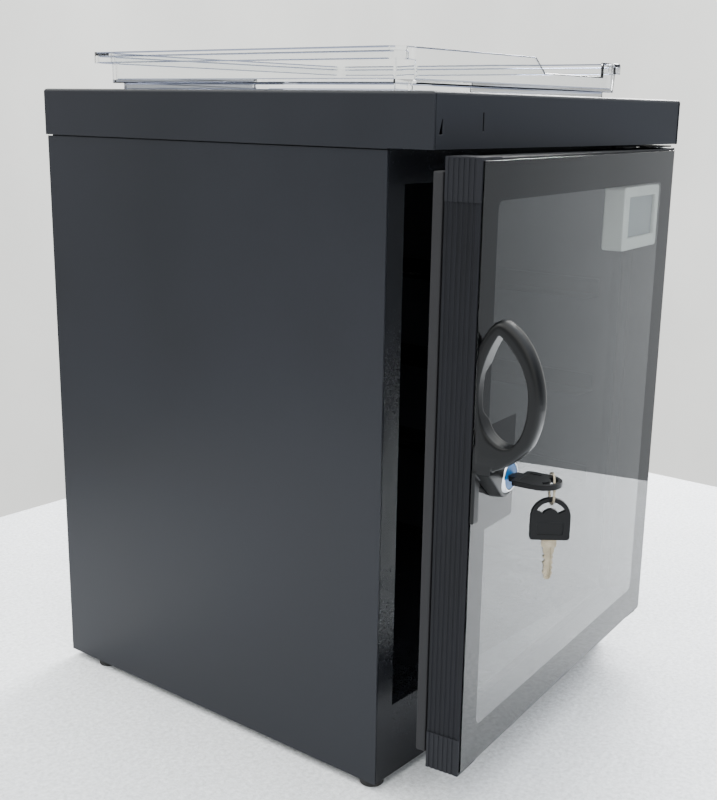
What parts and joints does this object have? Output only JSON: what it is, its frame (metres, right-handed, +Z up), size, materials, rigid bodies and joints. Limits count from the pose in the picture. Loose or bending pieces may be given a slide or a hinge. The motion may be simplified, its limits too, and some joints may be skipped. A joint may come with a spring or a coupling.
{
  "type": "electronic dry cabinet",
  "caption": "Small dark steel dry cabinet for filament spools, with a hinged lockable glass door, a leaf-shaped handle, a humidity gauge and a clear tray kept on top.",
  "frame": {"origin": "on the floor plane, under the middle of the cabinet's footprint without the door's swing", "axes": "+Z up, -Y the front, where the door is, +X the hinge side"},
  "size_m": [0.3238, 0.4322, 0.481],
  "materials": {
    "body_powder_coat": "satin charcoal powder coat",
    "face_powder_coat": "satin black powder coat",
    "foot_rubber": "moulded black rubber",
    "zinc_steel": "bright zinc plate",
    "black_screws": "black oxide",
    "nylon": "natural nylon",
    "module_plastic": "moulded black ABS",
    "sink_aluminium": "extruded, bead blasted",
    "tile_ceramic": "white alumina ceramic",
    "circuit_board": "green solder mask",
    "white_plastic": "white ABS",
    "lead_insulation": "red PVC",
    "door_glass": "clear toughened glass",
    "glass_print": "black ceramic print fired on glass",
    "frame_plastic": "extruded and moulded black ABS",
    "gasket_rubber": "soft black PVC seal",
    "magnet_ferrite": "bonded ferrite strip",
    "handle_plastic": "satin black ABS",
    "lock_chrome": "chrome plate",
    "gauge_plastic": "off-white ABS",
    "gauge_screen": "grey liquid crystal display",
    "plug_brass": "machined brass",
    "plug_blue": "blue lacquer",
    "key_plastic": "moulded black plastic",
    "key_nickel": "nickel plate",
    "tray_acrylic": "clear moulded polystyrene"
  },
  "bodies": {
    "cabinet": {"side_wrap": "body_powder_coat", "face_frame": "face_powder_coat", "back_panel": "body_powder_coat", "floor_pan": "body_powder_coat", "inner_floor": "face_powder_coat", "hood_cap": "body_powder_coat", "hood_front": "body_powder_coat", "feet": "foot_rubber", "foot_screws": "zinc_steel", "back_screws": "black_screws", "hinge_bracket_top": "face_powder_coat", "hinge_bracket_bottom": "face_powder_coat", "hinge_pins": "zinc_steel", "hinge_screws": "black_screws", "thrust_washer": "nylon", "strike_plate": "zinc_steel", "shelf_rails": "face_powder_coat", "module_housing": "module_plastic", "module_grille": "module_plastic", "cold_sink": "sink_aluminium", "peltier_tile": "tile_ceramic", "hot_sink": "sink_aluminium", "fan_frame": "module_plastic", "control_board": "circuit_board", "humidity_sensor": "white_plastic", "power_jack": "module_plastic", "power_lead": "lead_insulation", "module_screws": "black_screws"},
    "fan": {"fan_rotor": "module_plastic"},
    "door": {"glass_pane": "door_glass", "border_print": "glass_print", "frame_bar_left": "frame_plastic", "frame_bar_right": "frame_plastic", "frame_bar_top": "frame_plastic", "frame_bar_bottom": "frame_plastic", "corner_top_left": "frame_plastic", "corner_top_right": "frame_plastic", "corner_bottom_left": "frame_plastic", "corner_bottom_right": "frame_plastic", "door_gasket": "gasket_rubber", "gasket_magnets": "magnet_ferrite", "hinge_bushes": "nylon", "handle": "handle_plastic", "lock_body": "lock_chrome", "lock_nut": "zinc_steel", "hygrometer_case": "gauge_plastic", "hygrometer_screen": "gauge_screen", "hygrometer_back": "gauge_plastic"},
    "lock_plug": {"lock_plug": "plug_brass", "plug_face": "plug_blue", "lock_cam": "zinc_steel", "cam_nut": "zinc_steel"},
    "key": {"key_bow": "key_plastic", "key_blade": "key_nickel"},
    "ring": {"key_ring": "key_nickel"},
    "spare_key": {"spare_bow": "key_plastic", "spare_blade": "key_nickel"},
    "tray": {"tray": "tray_acrylic"}
  },
  "joints": [
    {"name": "door_hinge", "type": "hinge", "parent": "cabinet", "child": "door", "pos_m": [0.1477, -0.17, 0.23], "axis": [0, 0, 1], "range_deg": [-6.3, 110]},
    {"name": "lock_turn", "type": "hinge", "parent": "door", "child": "lock_plug", "pos_m": [-0.12645, -0.20832, 0.231], "axis": [0.1097, -0.994, 0], "range_deg": [0, 90]},
    {"name": "key_slide", "type": "slide", "parent": "lock_plug", "child": "key", "axis": [0.1097, -0.994, 0], "range_m": [0, 0.032]},
    {"name": "ring_swing", "type": "hinge", "parent": "key", "child": "ring", "pos_m": [-0.11287, -0.24022, 0.231], "axis": [-0.7826, -0.6225, 0], "range_deg": [-12, 22]},
    {"name": "spare_swing", "type": "hinge", "parent": "ring", "child": "spare_key", "pos_m": [-0.11287, -0.24022, 0.21515], "axis": [-0.7826, -0.6225, 0], "range_deg": [-10, 40]},
    {"name": "tray_lift", "type": "slide", "parent": "cabinet", "child": "tray", "axis": [0, 0, 1], "range_m": [0, 0.08]},
    {"name": "fan_spin", "type": "hinge", "parent": "cabinet", "child": "fan", "pos_m": [0, 0.1673, 0.361], "axis": [0, 1, 0], "continuous": true}
  ]
}
